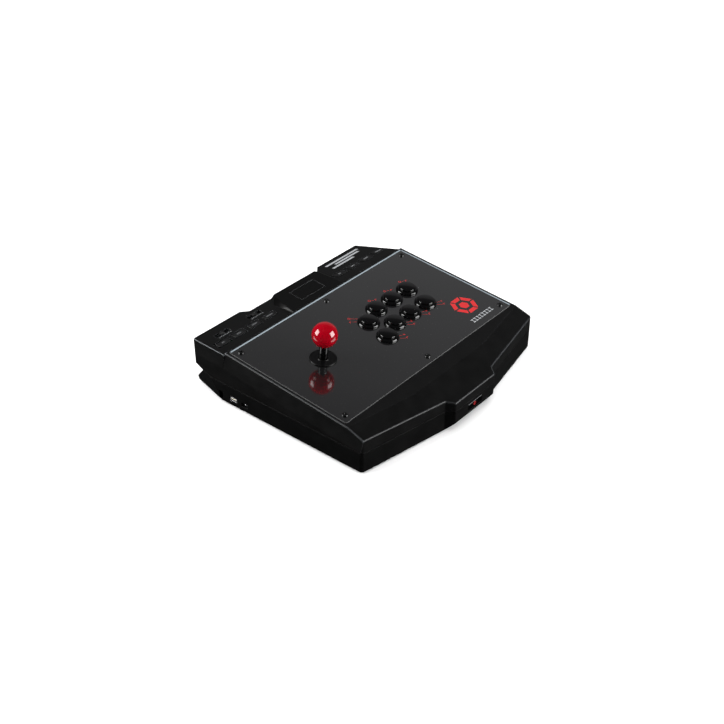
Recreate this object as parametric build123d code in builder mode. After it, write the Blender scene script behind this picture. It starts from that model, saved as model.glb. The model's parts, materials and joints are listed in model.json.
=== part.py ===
"""Desk-top arcade joystick panel: lever, eight action buttons, opening case.

Millimetres. +Z up, +X to the player's right, -Y towards the player.
The origin lies on the desk, under the middle of the case.
"""

import os
from math import cos, radians, sin, sqrt, tan

from build123d import *

# ---------------------------------------------------------------- case sizes
case_half_width = 196.0
case_rear_y = 166.5
recess_rear_y = 157.6
case_front_corner_y = -139.0
bump_front_y = -177.4
bump_half_width = 45.3
notch_half_width = 54.0
notch_y = -166.0
wall = 3.0
foot_height = 3.0
lower_bottom = foot_height
seam_low = 33.0
seam_high = 33.5
waist_y = 156.0
outer_corner_radius = 5.0
corner_radius = 2.5
front_rim_radius = 1.8
rear_rim_radius = 1.0
lip_radius = 2.0

# The deck is the sloping plane that the control panel lies in.
deck_angle = 5.56
deck_origin_y = -121.0
deck_origin_z = 61.0
deck = Plane(
    origin=(0, deck_origin_y, deck_origin_z),
    x_dir=(1, 0, 0),
    z_dir=(0, -sin(radians(deck_angle)), cos(radians(deck_angle))),
)

# The rear deck carries the function keys and is a little lower and flatter.
rear_deck_angle = 2.64
rear_deck_y = 102.4
rear_deck_z = 80.2
rear_deck = Plane(
    origin=(0, rear_deck_y, rear_deck_z),
    x_dir=(1, 0, 0),
    z_dir=(0, -sin(radians(rear_deck_angle)), cos(radians(rear_deck_angle))),
)
rear_deck_start_y = 105.5

# ---------------------------------------------------------------- panel sizes
panel_width = 378.0
panel_depth = 210.0
panel_middle = (1.0, 120.0)
panel_corner = 3.5
cover_thickness = 2.0
plate_thickness = 1.6
cover_top = 1.0
cover_bottom = cover_top - cover_thickness
plate_bottom = cover_bottom - plate_thickness
ledge_thickness = 3.0
screw_half_span = 177.0
screw_front_v = 26.4
screw_rear_v = 212.2
screw_radius = 2.0
screw_head_radius = 4.2

# ---------------------------------------------------------------- controls
button_pitch = 36.0
button_first = (108.0, 147.4)
button_row_step = (-6.8, -40.0)
button_thumb_step = (-33.2, -12.9)
button_hole_radius = 15.2
bezel_radius = 16.5
bezel_top = 5.2
bezel_rounding = 3.2
plunger_radius = 12.2
plunger_travel = 2.6
running_gap = 0.08
wire_radius = 0.4

stick_spot = (-107.0, 125.0)
stick_pivot = -24.0
ball_radius = 18.0
ball_height = 41.2
sleeve_radius = 5.5
collar_radius = 6.4
collar_bottom = 5.2
rod_radius = 3.0
washer_radius = 19.2
stick_hole_radius = 11.5

key_size = (22.0, 9.0)
key_slant = 6.6
key_gap = 0.25
key_w = 26.1
left_key_x = [-173.5, -142.5, -111.5, -80.5]
right_key_x = [74.0, 105.2, 136.2, 166.4]
slider_spots = [(-158.0, 44.0), (-93.5, 44.0)]
touch_size = (52.8, 26.0)
touch_mid = (3.6, 252.6)

deck_axis = Axis((0, 0, 0), deck.z_dir)
stick = Plane(
    origin=deck.from_local_coords((stick_spot[0], stick_spot[1], 0)),
    x_dir=(1, 0, 0),
    z_dir=deck.z_dir,
)


def button_spots():
    """Deck positions of the eight buttons, upper row first, right to left."""
    spots = []
    for row in range(2):
        u = button_first[0] + row * button_row_step[0]
        v = button_first[1] + row * button_row_step[1]
        for column in range(3):
            spots.append((u - column * button_pitch, v))
        last_u, last_v = spots[-1]
        spots.append((last_u + button_thumb_step[0], last_v + button_thumb_step[1]))
    return spots


def screw_spots():
    """Deck positions of the six panel screws."""
    return [
        (u, v)
        for v in (screw_front_v, screw_rear_v)
        for u in (-screw_half_span, 0, screw_half_span)
    ]


# ---------------------------------------------------------------- case outline
# Plan corners of the case, from the front left corner round to the right.
case_points = [
    (-case_half_width, case_front_corner_y),
    (-notch_half_width, notch_y),
    (-bump_half_width, bump_front_y),
    (bump_half_width, bump_front_y),
    (notch_half_width, notch_y),
    (case_half_width, case_front_corner_y),
    (case_half_width, rear_deck_start_y),
    (156.0, case_rear_y),
    (66.0, case_rear_y),
    (55.3, recess_rear_y),
    (-91.3, recess_rear_y),
    (-102.5, case_rear_y),
    (-case_half_width, case_rear_y),
]


def is_outer_corner(corner):
    """Whether a corner of the plan is one of the three square outer ones."""
    front = abs(corner.Y - case_front_corner_y) < 0.1
    rear = abs(corner.Y - case_rear_y) < 0.1
    return abs(abs(corner.X) - case_half_width) < 0.1 and (front or rear)


def case_outline(inset=0.0):
    """Plan face of the case, with rounded corners when it isn't inset."""
    face = Polygon(*case_points, align=None)
    if inset:
        offset(amount=-inset, kind=Kind.INTERSECTION)
        return
    small = face.vertices().filter_by(lambda corner: not is_outer_corner(corner))
    rounded = fillet(small, radius=corner_radius)
    fillet(rounded.vertices().filter_by(is_outer_corner), radius=outer_corner_radius)


# Front slope: three facets fall from the deck to the player's edge.
crease_mid_y = -131.45
crease_mid_z = 59.98
crease_turn_x = 80.0
bump_edge_z = 47.3
mid_slope = Plane(
    origin=(0, crease_mid_y, crease_mid_z),
    x_dir=(1, 0, 0),
    z_dir=(0, -(crease_mid_z - bump_edge_z), crease_mid_y - bump_front_y),
)


def side_slope(side):
    """Facet of the front slope on one side, from three points on it."""
    turn = Vector(side * crease_turn_x, crease_mid_y, crease_mid_z)
    outer = Vector(side * 191.0, -112.34, 61.84)
    front = Vector(side * 191.0, -139.24, 53.49)
    normal = (outer - turn).cross(front - turn)
    if normal.Z < 0:
        normal = normal * -1
    return Plane(origin=turn, z_dir=normal)


def facet(first, second, third):
    """Plane through three points of the left side, facing out of the case."""
    normal = (second - first).cross(third - first)
    if normal.X > 0:
        normal = normal * -1
    return Plane(origin=first, z_dir=normal)


# The left rear corner is drawn in below, by one facet on each of the shells.
facet_front_y = 115.0
facet_seam_y = 136.0
facet_waist_x = -191.0
facet_bottom_x = -185.75
undercut_depth = case_rear_y - waist_y
undercut_height = 13.0
bevel_width = 3.4
rear_bevel_width = 2.0
bevel_height = 26.0
rear_undercut = Plane(
    origin=(0, waist_y, seam_high), z_dir=(0, undercut_height, -undercut_depth)
)
upper_facet = facet(
    Vector(-case_half_width, facet_seam_y, seam_high),
    Vector(facet_waist_x, waist_y, seam_high),
    Vector(-case_half_width, case_rear_y, seam_high + undercut_height),
)
lower_facet = facet(
    Vector(-case_half_width, facet_front_y, lower_bottom),
    Vector(facet_bottom_x, waist_y, lower_bottom),
    Vector(facet_waist_x, waist_y, seam_low),
)


def pillars(plane, spots, radius, low, high, mode=Mode.ADD):
    """Round pillars along a plane's normal, from one height to another."""
    with BuildSketch(plane.offset(low)) as section:
        with Locations(*spots):
            Circle(radius)
    extrude(section.sketch, amount=high - low, mode=mode)


def blocks(plane, spots, size, low, high, mode=Mode.ADD):
    """Rectangular blocks along a plane's normal, from one height to another."""
    with BuildSketch(plane.offset(low)) as section:
        with Locations(*spots):
            Rectangle(*size)
    extrude(section.sketch, amount=high - low, mode=mode)


def coil(foot, along, radius, height, pitch):
    """Coil spring of round wire that stands on a point."""
    with BuildLine():
        spiral = Helix(pitch, height, radius, center=foot, direction=along)
    with BuildSketch(Plane(origin=spiral @ 0, z_dir=spiral % 0)) as wire:
        Circle(wire_radius)
    sweep(wire.sketch, path=spiral, is_frenet=True)


def panel_holes(low, high, hole_radius):
    """Holes for the buttons, the stick and the six screws."""
    pillars(deck, button_spots(), button_hole_radius, low, high, Mode.SUBTRACT)
    pillars(deck, [stick_spot], hole_radius, low, high, Mode.SUBTRACT)
    pillars(deck, screw_spots(), screw_radius, low, high, Mode.SUBTRACT)


def trim_case(inset=0.0, deck_drop=None):
    """Cut the current solid by the planes that bound the upper case."""
    drop = inset if deck_drop is None else deck_drop
    split(bisect_by=deck.offset(-drop), keep=Keep.BOTTOM)
    split(bisect_by=mid_slope.offset(-inset), keep=Keep.BOTTOM)
    for side in (-1, 1):
        split(bisect_by=side_slope(side).offset(-inset), keep=Keep.BOTTOM)
    split(bisect_by=upper_facet.offset(-inset), keep=Keep.BOTTOM)
    split(bisect_by=rear_undercut.offset(-inset), keep=Keep.BOTTOM)


def left_bevel(width, start_v, end_v, inset=0.0):
    """Cut a bevel that leans the left wall inwards between two distances up the deck."""
    top_x = case_half_width - width - inset
    low_x = case_half_width - inset
    end = Plane(
        origin=deck.from_local_coords((0, end_v, 0)), x_dir=(1, 0, 0), z_dir=deck.y_dir * -1
    )
    with BuildSketch(end) as section:
        Polygon(
            (-top_x, 20),
            (-top_x, 0),
            (-low_x, -bevel_height),
            (-low_x - 20, -bevel_height),
            (-low_x - 20, 20),
            align=None,
        )
    extrude(section.sketch, amount=end_v - start_v, mode=Mode.SUBTRACT)


def left_bevels(inset=0.0):
    """Cut the bevel beside the panel, and the narrower one beside the rear deck."""
    step_v = (rear_deck_start_y + inset - deck_origin_y) / cos(radians(deck_angle))
    left_bevel(bevel_width, -60, step_v, inset)
    left_bevel(rear_bevel_width, step_v, step_v + 100, inset)


def rear_deck_step(drop=0.0):
    """Remove what stands above the rear deck, behind the panel."""
    rise = tan(radians(rear_deck_angle))
    low = rear_deck_z - drop
    start = rear_deck_start_y - drop
    end = case_rear_y + 20
    with BuildSketch(Plane.YZ) as profile:
        Polygon(
            (start, low + rise * (start - rear_deck_y)),
            (end, low + rise * (end - rear_deck_y)),
            (end, 120),
            (start, 120),
            align=None,
        )
    extrude(profile.sketch, amount=case_half_width + 10, both=True, mode=Mode.SUBTRACT)


def rim_edges(solid, low_y, high_y):
    """Edges where the top faces meet the outer walls, between two depths."""
    tops = [face for face in solid.faces() if face.normal_at().Z > 0.5]
    walls = [face for face in solid.faces() if abs(face.normal_at().Z) < 0.2]
    wall_edges = [edge for face in walls for edge in face.edges()]
    return [
        edge
        for face in tops
        for edge in face.edges()
        if low_y < edge.center().Y < high_y
        and any(edge.is_same(wall_edge) for wall_edge in wall_edges)
    ]


def key_outline(x, gap=0.0):
    """Plan of one function key; the right-hand keys are slanted."""
    half_x = key_size[0] / 2
    half_y = key_size[1] / 2
    lean = key_slant / 2 if x > 0 else 0.0
    Polygon(
        (x - half_x + lean, key_w - half_y),
        (x + half_x + lean, key_w - half_y),
        (x + half_x - lean, key_w + half_y),
        (x - half_x - lean, key_w + half_y),
        align=None,
    )
    if gap:
        offset(amount=gap, kind=Kind.INTERSECTION)


# ================================================================ upper shell
window_half_width = 160.0
window_front_v = 40.0
window_rear_v = 200.0
pocket_gap = 0.5
boss_radius = 4.5
boss_bottom = -14.0
slide_recess = (27.0, 7.0)
slide_recess_depth = 1.8
slide_slot = (13.0, 3.2)

with BuildPart() as upper_cavity:
    with BuildSketch(Plane.XY.offset(seam_high - 5)):
        case_outline(inset=wall)
    extrude(amount=80)
    trim_case(inset=wall, deck_drop=ledge_thickness - plate_bottom)
    left_bevels(inset=wall)
    rear_deck_step(drop=wall)

with BuildPart() as upper_shell:
    with BuildSketch(Plane.XY.offset(seam_high)):
        case_outline()
    extrude(amount=80)
    trim_case()
    rear_deck_step()
    rear_rim = rim_edges(upper_shell.part, rear_deck_start_y + 1, case_rear_y + 1)
    fillet(rear_rim, radius=rear_rim_radius)
    left_bevels()
    front_rim = rim_edges(upper_shell.part, bump_front_y - 1, rear_deck_y - 1)
    fillet(front_rim, radius=front_rim_radius)
    add(upper_cavity.part, mode=Mode.SUBTRACT)
    # Pocket for the panel, and the window that the controls hang through.
    with BuildSketch(deck.offset(plate_bottom)):
        with Locations(panel_middle):
            RectangleRounded(
                panel_width + 2 * pocket_gap, panel_depth + 2 * pocket_gap, panel_corner
            )
    extrude(amount=10, mode=Mode.SUBTRACT)
    window_mid_v = (window_front_v + window_rear_v) / 2
    window_size = (2 * window_half_width, window_rear_v - window_front_v)
    blocks(deck, [(0, window_mid_v)], window_size, -12, 0, Mode.SUBTRACT)
    # Screw bosses under the ledge.
    pillars(deck, screw_spots(), boss_radius, boss_bottom, plate_bottom - 1)
    pillars(deck, screw_spots(), screw_radius, boss_bottom - 1, 1, Mode.SUBTRACT)
    # Openings for the function keys and the two slide switches.
    with BuildSketch(rear_deck.offset(-wall)):
        for key_x in left_key_x + right_key_x:
            key_outline(key_x, gap=key_gap)
    extrude(amount=10, mode=Mode.SUBTRACT)
    blocks(rear_deck, slider_spots, slide_recess, -slide_recess_depth, 5, Mode.SUBTRACT)
    blocks(rear_deck, slider_spots, slide_slot, -wall - 1, 0, Mode.SUBTRACT)
upper_shell.part.label = "upper_shell"

# ================================================================ lower shell
lip_y = 177.4
lip_top_z = 10.0
lip_join_z = 32.5
floor_top = lower_bottom + wall
bump_bottom_z = 14.0
bump_undercut = Plane(
    origin=(0, bump_front_y, bump_bottom_z),
    z_dir=(0, -(bump_bottom_z - lower_bottom), -(notch_y - bump_front_y)),
)
corner_cut = Plane(
    origin=(case_half_width, rear_deck_start_y, 0),
    z_dir=(case_rear_y - rear_deck_start_y, case_half_width - 156.0, 0),
)
lock_slot_spot = (116.3, 10.9)
lock_slot_size = (7.5, 13.2)
usb_a_spot = (92.2, 13.4)
usb_a_size = (14.0, 6.8)
usb_c_spot = (70.5, 13.0)
usb_c_size = (9.0, 3.3)
usb_c_window = (11.5, 6.4)
usb_c_depth = 2.6
button_window = (32.0, 10.0)
button_mid_z = 23.0
board_size = (62.0, 62.0)
board_mid = (-158.5, 77.0)
board_bottom = 8.4
board_thickness = 1.6
plate_bolts = [(-95.0, -90.0), (135.0, -90.0), (-95.0, 110.0), (135.0, 110.0)]
board_bolts = [(-185.0, 52.0), (-132.0, 52.0), (-185.0, 104.0), (-132.0, 104.0)]
side_plane = Plane(
    origin=(-case_half_width, 0, 0), x_dir=(0, 1, 0), z_dir=(1, 0, 0)
)


def lip_profile(inset=0.0):
    """Section of the rear lip that forms the lower side of the cable groove."""
    slant = inset * 0.73
    Polygon(
        (waist_y - 8, lower_bottom + inset),
        (lip_y - inset, lower_bottom + inset),
        (lip_y - inset, lip_top_z - inset / 3),
        (waist_y - slant, lip_join_z - inset),
        (waist_y - 8, lip_join_z - inset),
        align=None,
    )


def trim_lower(inset=0.0):
    """Cut the current solid by the oblique planes of the lower case."""
    split(bisect_by=lower_facet.offset(-inset), keep=Keep.BOTTOM)
    split(bisect_by=corner_cut.offset(-inset), keep=Keep.BOTTOM)
    split(bisect_by=bump_undercut.offset(-inset), keep=Keep.BOTTOM)


with BuildPart() as lower_cavity:
    with BuildSketch(Plane.XY.offset(floor_top)):
        case_outline(inset=wall)
    extrude(amount=seam_low)
    split(bisect_by=Plane.XZ.offset(-waist_y + wall), keep=Keep.TOP)
    with BuildSketch(Plane.YZ):
        lip_profile(inset=wall)
    extrude(amount=case_half_width - wall, both=True)
    trim_lower(inset=wall)

with BuildPart() as lower_shell:
    with BuildSketch(Plane.XY.offset(lower_bottom)):
        case_outline()
    extrude(amount=seam_low - lower_bottom)
    split(bisect_by=Plane.XZ.offset(-waist_y), keep=Keep.TOP)
    with BuildSketch(Plane.YZ):
        lip_profile()
    extrude(amount=case_half_width, both=True)
    trim_lower()
    lip_edges = lower_shell.edges().filter_by(
        lambda edge: edge.center().Y > lip_y - 0.1 and edge.length > 100
    )
    fillet(lip_edges, radius=lip_radius)
    add(lower_cavity.part, mode=Mode.SUBTRACT)
    # Bosses for the base plate and the main board.
    pillars(Plane.XY, plate_bolts, 5.0, floor_top - 1, floor_top + 1)
    pillars(Plane.XY, board_bolts, 3.0, floor_top - 1, board_bottom)
    pillars(Plane.XY, plate_bolts + board_bolts, 1.5, floor_top - 2, 20, Mode.SUBTRACT)
    # Guide rib for the stem of the release button.
    blocks(Plane.XY, [(0, -139.5)], (30.0, 3.0), floor_top - 1, 29.5)
    rib_plane = Plane.XZ.offset(136)
    blocks(rib_plane, [(0, button_mid_z)], (8.4, 5.4), 0, 10, Mode.SUBTRACT)
    # Window of the release button in the front bump.
    front_plane = Plane.XZ.offset(-bump_front_y - 8)
    blocks(front_plane, [(0, button_mid_z)], button_window, 0, 10, Mode.SUBTRACT)
    # Sockets and the lock slot in the left wall.
    blocks(side_plane, [usb_a_spot], usb_a_size, -1, wall + 1, Mode.SUBTRACT)
    blocks(side_plane, [usb_c_spot], usb_c_window, -1, wall + 1, Mode.SUBTRACT)
    blocks(side_plane, [lock_slot_spot], lock_slot_size, -1, wall + 3, Mode.SUBTRACT)
lower_shell.part.label = "lower_shell"


# ================================================================ base fittings
foot_radius = 10.0
foot_spots = [(-172.0, -118.0), (172.0, -118.0), (0.0, -140.0)]
foot_spots += [(-160.0, 120.0), (140.0, 105.0), (0.0, 130.0)]
board_top = board_bottom + board_thickness
weight_plate_size = (256.0, 226.0)
weight_plate_mid = (20.0, 10.0)

with BuildPart() as rubber_feet:
    pillars(Plane.XY, foot_spots, foot_radius, 0, lower_bottom)
    chamfer(rubber_feet.faces().group_by(Axis.Z)[0].edges(), length=0.8)
rubber_feet.part.label = "rubber_feet"

with BuildPart() as base_plate:
    blocks(Plane.XY, [weight_plate_mid], weight_plate_size, floor_top + 1, floor_top + 2.6)
    fillet(base_plate.edges().filter_by(Axis.Z), radius=8)
    pillars(Plane.XY, plate_bolts, 1.5, 0, 20, Mode.SUBTRACT)
base_plate.part.label = "base_plate"

with BuildPart() as base_plate_screws:
    pillars(Plane.XY, plate_bolts, 1.5, floor_top - 2, floor_top + 2.6)
    pillars(Plane.XY, plate_bolts, 3.2, floor_top + 2.6, floor_top + 4.6)
base_plate_screws.part.label = "base_plate_screws"

with BuildPart() as main_board:
    blocks(Plane.XY, [board_mid], board_size, board_bottom, board_top)
    pillars(Plane.XY, board_bolts, 1.5, 0, 20, Mode.SUBTRACT)
    blocks(Plane.XY, [(-155, 80)], (14, 14), board_top, board_top + 1.4)
    blocks(Plane.XY, [(-140, 65)], (8, 10), board_top, board_top + 1.2)
    blocks(Plane.XY, [(-134, 84)], (5, 22), board_top, board_top + 6)
main_board.part.label = "main_board"

with BuildPart() as board_screws:
    pillars(Plane.XY, board_bolts, 1.5, floor_top - 2, board_top)
    pillars(Plane.XY, board_bolts, 2.8, board_top, board_top + 1.8)
board_screws.part.label = "board_screws"

socket_face_x = -case_half_width + 0.6
socket_plane = Plane(origin=(socket_face_x, 0, 0), x_dir=(0, 1, 0), z_dir=(1, 0, 0))

with BuildPart() as usb_a_socket:
    blocks(socket_plane, [usb_a_spot], usb_a_size, 0, 16)
    cavity_size = (usb_a_size[0] - 0.7, usb_a_size[1] - 0.7)
    blocks(socket_plane, [usb_a_spot], cavity_size, -1, 12, Mode.SUBTRACT)
    tongue_spot = (usb_a_spot[0], usb_a_spot[1] + 1.1)
    blocks(socket_plane, [tongue_spot], (11.0, 1.8), 1, 13)
usb_a_socket.part.label = "usb_a_socket"

with BuildPart() as usb_c_socket:
    inner_plane = socket_plane.offset(usb_c_depth)
    with BuildSketch(inner_plane):
        with Locations(usb_c_spot):
            RectangleRounded(usb_c_size[0], usb_c_size[1], 1.5)
    extrude(amount=9)
    with BuildSketch(inner_plane):
        with Locations(usb_c_spot):
            RectangleRounded(usb_c_size[0] - 0.6, usb_c_size[1] - 0.6, 1.2)
    extrude(amount=6, mode=Mode.SUBTRACT)
    blocks(inner_plane, [usb_c_spot], (6.6, 0.7), 0.8, 7)
    leg_height = usb_c_spot[1] - usb_c_size[1] / 2 - board_top
    leg_spot = (usb_c_spot[0], board_top + leg_height / 2)
    blocks(inner_plane, [leg_spot], (7.0, leg_height), 6.5, 8.5)
usb_c_socket.part.label = "usb_c_socket"

# ================================================================ rear hinges
hinge_spots = [-125.0, 125.0]
hinge_y = 160.2
hinge_z = 33.6
knuckle_radius = 3.0
pin_radius = 1.5
lid_knuckle_half = 9.7
base_knuckle_length = 10.0
leaf_thickness = 1.4
sideways = Vector(1, 0, 0)
lid_leaf_along = Vector(0, undercut_depth, undercut_height).normalized()
lid_leaf_out = lid_leaf_along.cross(sideways)
base_leaf_along = Vector(0, lip_y - waist_y, lip_top_z - lip_join_z).normalized()
base_leaf_out = sideways.cross(base_leaf_along)


def hinge_leaf(corner, along, out, low_x, length, bore):
    """One hinge knuckle with the leaf that lies on the case, along X."""
    start = corner + along * 2.6
    end = corner + along * 11.5
    points = [start, end, end + out * leaf_thickness, start + out * leaf_thickness]
    section_plane = Plane.YZ.offset(low_x)
    with BuildSketch(section_plane) as section:
        Polygon(*[(point.Y, point.Z) for point in points], align=None)
        with Locations((hinge_y, hinge_z)):
            Circle(knuckle_radius)
            Circle(bore, mode=Mode.SUBTRACT)
    extrude(section.sketch, amount=length)


with BuildPart() as hinge_lid_leaves:
    for hinge_x in hinge_spots:
        hinge_leaf(
            Vector(0, waist_y, seam_high),
            lid_leaf_along,
            lid_leaf_out,
            hinge_x - lid_knuckle_half,
            2 * lid_knuckle_half,
            pin_radius + 0.06,
        )
hinge_lid_leaves.part.label = "hinge_lid_leaves"

with BuildPart() as hinge_base_leaves:
    for hinge_x in hinge_spots:
        for low_x in (hinge_x - 2 * base_knuckle_length, hinge_x + base_knuckle_length):
            hinge_leaf(
                Vector(0, waist_y, lip_join_z),
                base_leaf_along,
                base_leaf_out,
                low_x,
                base_knuckle_length,
                pin_radius,
            )
hinge_base_leaves.part.label = "hinge_base_leaves"

with BuildPart() as hinge_pins:
    for hinge_x in hinge_spots:
        with BuildSketch(Plane.YZ.offset(hinge_x - 2 * base_knuckle_length)):
            with Locations((hinge_y, hinge_z)):
                Circle(pin_radius)
        extrude(amount=4 * base_knuckle_length)
hinge_pins.part.label = "hinge_pins"

# ================================================================ front latch
button_face_y = -176.9
button_flange_y = -173.9
stem_end_y = -134.0
striker_mid_y = -162.0
latch_nose_z = 30.8
across = Plane.XZ
latch_reach = -157.6

with BuildPart() as release_button:
    button_plane = across.offset(-button_flange_y)
    blocks(button_plane, [(0, button_mid_z)], (31.0, 9.0), 0, 3.0)
    fillet(release_button.edges().group_by(Axis.Y)[0], radius=0.6)
    blocks(button_plane, [(0, button_mid_z)], (34.0, 11.0), -2.5, 0)
    stem_length = stem_end_y - button_flange_y
    blocks(button_plane, [(0, button_mid_z)], (8.0, 5.0), -stem_length, -2.5)
release_button.part.label = "release_button"

with BuildPart() as latch_hook:
    hook_plane = Plane.YZ.offset(-7)
    with BuildSketch(hook_plane):
        Polygon(
            (-153, button_mid_z + 2.5),
            (-151, button_mid_z + 2.5),
            (-151, 35),
            (-154, 35),
            (latch_reach, latch_nose_z),
            (-153, latch_nose_z),
            align=None,
        )
    extrude(amount=14)
latch_hook.part.label = "latch_hook"

with BuildPart() as latch_spring:
    coil((0, -141.6, button_mid_z), (0, -1, 0), radius=5.6, height=5.7, pitch=1.9)
latch_spring.part.label = "latch_spring"

with BuildPart() as lid_striker:
    with BuildSketch(Plane.YZ.offset(-7)):
        Polygon(
            (striker_mid_y - 1, 27),
            (striker_mid_y + 4, 27),
            (striker_mid_y + 4, 29),
            (striker_mid_y + 1, 30),
            (striker_mid_y + 1, 44),
            (striker_mid_y - 1, 44),
            align=None,
        )
    extrude(amount=14)
    blocks(Plane.XY, [(0, -168.2)], (30.0, 12.4), 42.4, 44.0)
lid_striker.part.label = "lid_striker"

base_parts = [
    lower_shell, base_plate, base_plate_screws, rubber_feet, main_board, board_screws,
    usb_a_socket, usb_c_socket, hinge_base_leaves, hinge_pins, latch_spring,
]
latch_parts = [release_button, latch_hook]

# ================================================================ control panel
with BuildPart() as mounting_plate:
    with BuildSketch(deck.offset(plate_bottom)):
        with Locations(panel_middle):
            RectangleRounded(panel_width - 0.4, panel_depth - 0.4, panel_corner)
    extrude(amount=plate_thickness)
    panel_holes(plate_bottom - 1, cover_bottom + 1, stick_hole_radius)
    stick_screw_spots = [
        (stick_spot[0] + x, stick_spot[1] + y) for x in (-40, 40) for y in (-20, 20)
    ]
    pillars(deck, stick_screw_spots, 3.5, plate_bottom - 1, 0, Mode.SUBTRACT)
mounting_plate.part.label = "mounting_plate"

with BuildPart() as panel_cover:
    with BuildSketch(deck.offset(cover_bottom)):
        with Locations(panel_middle):
            RectangleRounded(panel_width, panel_depth, panel_corner)
    extrude(amount=cover_thickness)
    chamfer(panel_cover.faces().sort_by(deck_axis)[-1].edges(), length=0.15)
    panel_holes(cover_bottom - 1, cover_top + 1, stick_hole_radius)
panel_cover.part.label = "panel_cover"

with BuildPart() as panel_screws:
    pillars(deck, screw_spots(), screw_radius, boss_bottom, cover_top)
    pillars(deck, screw_spots(), screw_head_radius, cover_top, cover_top + 2.0)
    fillet(panel_screws.faces().group_by(deck_axis)[-1].edges(), radius=1.0)
    with BuildSketch(deck.offset(cover_top + 0.7)):
        with Locations(*screw_spots()):
            RegularPolygon(radius=1.45, side_count=6)
    extrude(amount=4, mode=Mode.SUBTRACT)
panel_screws.part.label = "panel_screws"

# ================================================================ action buttons
housing_bottom = -18.0
barrel_radius = 15.0
bore_radius = plunger_radius + running_gap
nut_radius = 17.4
plunger_crown = 9.3
dome_radius = 46.0
plunger_bottom = -6.0
stem_radius = 3.0
switch_top = -22.8
switch_height = 10.2
switch_size = (19.8, 6.3)
stem_bottom = switch_top + plunger_travel + 0.4

with BuildPart() as button_housings:
    pillars(deck, button_spots(), bezel_radius, cover_top, bezel_top)
    fillet(button_housings.faces().group_by(deck_axis)[-1].edges(), radius=bezel_rounding)
    pillars(deck, button_spots(), barrel_radius, housing_bottom, cover_top)
    pillars(deck, button_spots(), bore_radius, housing_bottom + 2, 8, Mode.SUBTRACT)
    pillars(deck, button_spots(), stem_radius + 0.3, -20, 5, Mode.SUBTRACT)
    leg_offset = switch_size[1] / 2 + 0.9
    leg_spots = [
        (u, v + side * leg_offset) for u, v in button_spots() for side in (-1, 1)
    ]
    blocks(deck, leg_spots, (9.0, 1.6), -29.0, housing_bottom)
button_housings.part.label = "button_housings"

with BuildPart() as button_nuts:
    pillars(deck, button_spots(), nut_radius, plate_bottom - 5.0, plate_bottom)
    pillars(deck, button_spots(), barrel_radius, -20, 0, Mode.SUBTRACT)
button_nuts.part.label = "button_nuts"

with BuildPart() as button_switches:
    blocks(deck, button_spots(), switch_size, switch_top - switch_height, switch_top)
    blade_spots = [(u + x, v) for u, v in button_spots() for x in (-7, 7)]
    blocks(deck, blade_spots, (0.8, 4.0), -37.5, switch_top - switch_height)
button_switches.part.label = "button_switches"


def dome_height(radius):
    """Height of the domed plunger top at a distance from its axis."""
    return plunger_crown - dome_radius + sqrt(dome_radius**2 - radius**2)


shoulder = plunger_radius - 1.2
side_top = dome_height(shoulder) - 1.1

button_plungers = []
for number, (spot_u, spot_v) in enumerate(button_spots(), start=1):
    profile_plane = Plane(
        origin=deck.from_local_coords((spot_u, spot_v, 0)),
        x_dir=(1, 0, 0),
        z_dir=deck.y_dir * -1,
    )
    with BuildPart() as button_plunger:
        with BuildSketch(profile_plane):
            with BuildLine():
                Polyline(
                    (0, plunger_crown),
                    (0, stem_bottom),
                    (stem_radius, stem_bottom),
                    (stem_radius, plunger_bottom),
                    (plunger_radius, plunger_bottom),
                    (plunger_radius, side_top),
                )
                ThreePointArc(
                    (plunger_radius, side_top),
                    (plunger_radius - 0.35, side_top + 0.8),
                    (shoulder, dome_height(shoulder)),
                )
                ThreePointArc(
                    (shoulder, dome_height(shoulder)),
                    (shoulder / 2, dome_height(shoulder / 2)),
                    (0, plunger_crown),
                )
            make_face()
        revolve(axis=Axis(profile_plane.origin, deck.z_dir))
    button_plunger.part.label = f"button_plunger_{number}"
    button_plungers.append(button_plunger)

# ================================================================ stick
mount_top = plate_bottom
mount_bottom = mount_top - 1.6
body_half = 25.0
body_wall = 2.5
switch_high = -34.0
body_roof = mount_bottom - 2.4
trunnion_radius = 1.5
ring_radius = 11.0
ring_bore = 8.0
ring_half_height = 3.0
hub_radius = 6.5
hub_half_height = 4.0
switch_gap = 10.6
actuator_radius = 7.0
board_high = switch_high - switch_height
gate_top = -45.8
gate_bottom = -50.0
gate_half_opening = 7.2
middle = [(0, 0)]
stick_axis = Axis(stick.origin, stick.z_dir)

with BuildPart() as stick_mount_plate:
    blocks(stick, middle, (94.0, 54.0), mount_bottom, mount_top)
    fillet(stick_mount_plate.edges().filter_by(stick_axis), radius=4)
    pillars(stick, middle, 12.0, mount_bottom - 1, mount_top + 1, Mode.SUBTRACT)
    bolt_spots = [(x, y) for x in (-40, 40) for y in (-20, 20)]
    pillars(stick, bolt_spots, 2.0, mount_bottom - 1, mount_top + 1, Mode.SUBTRACT)
stick_mount_plate.part.label = "stick_mount_plate"

with BuildPart() as stick_screws:
    pillars(stick, bolt_spots, 2.0, -12.0, plate_bottom)
    pillars(stick, bolt_spots, 3.5, plate_bottom, cover_bottom)
    with BuildSketch(stick.offset(mount_bottom - 3.2)):
        with Locations(*bolt_spots):
            RegularPolygon(radius=4.0, side_count=6)
    extrude(amount=3.2)
stick_screws.part.label = "stick_screws"

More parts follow.
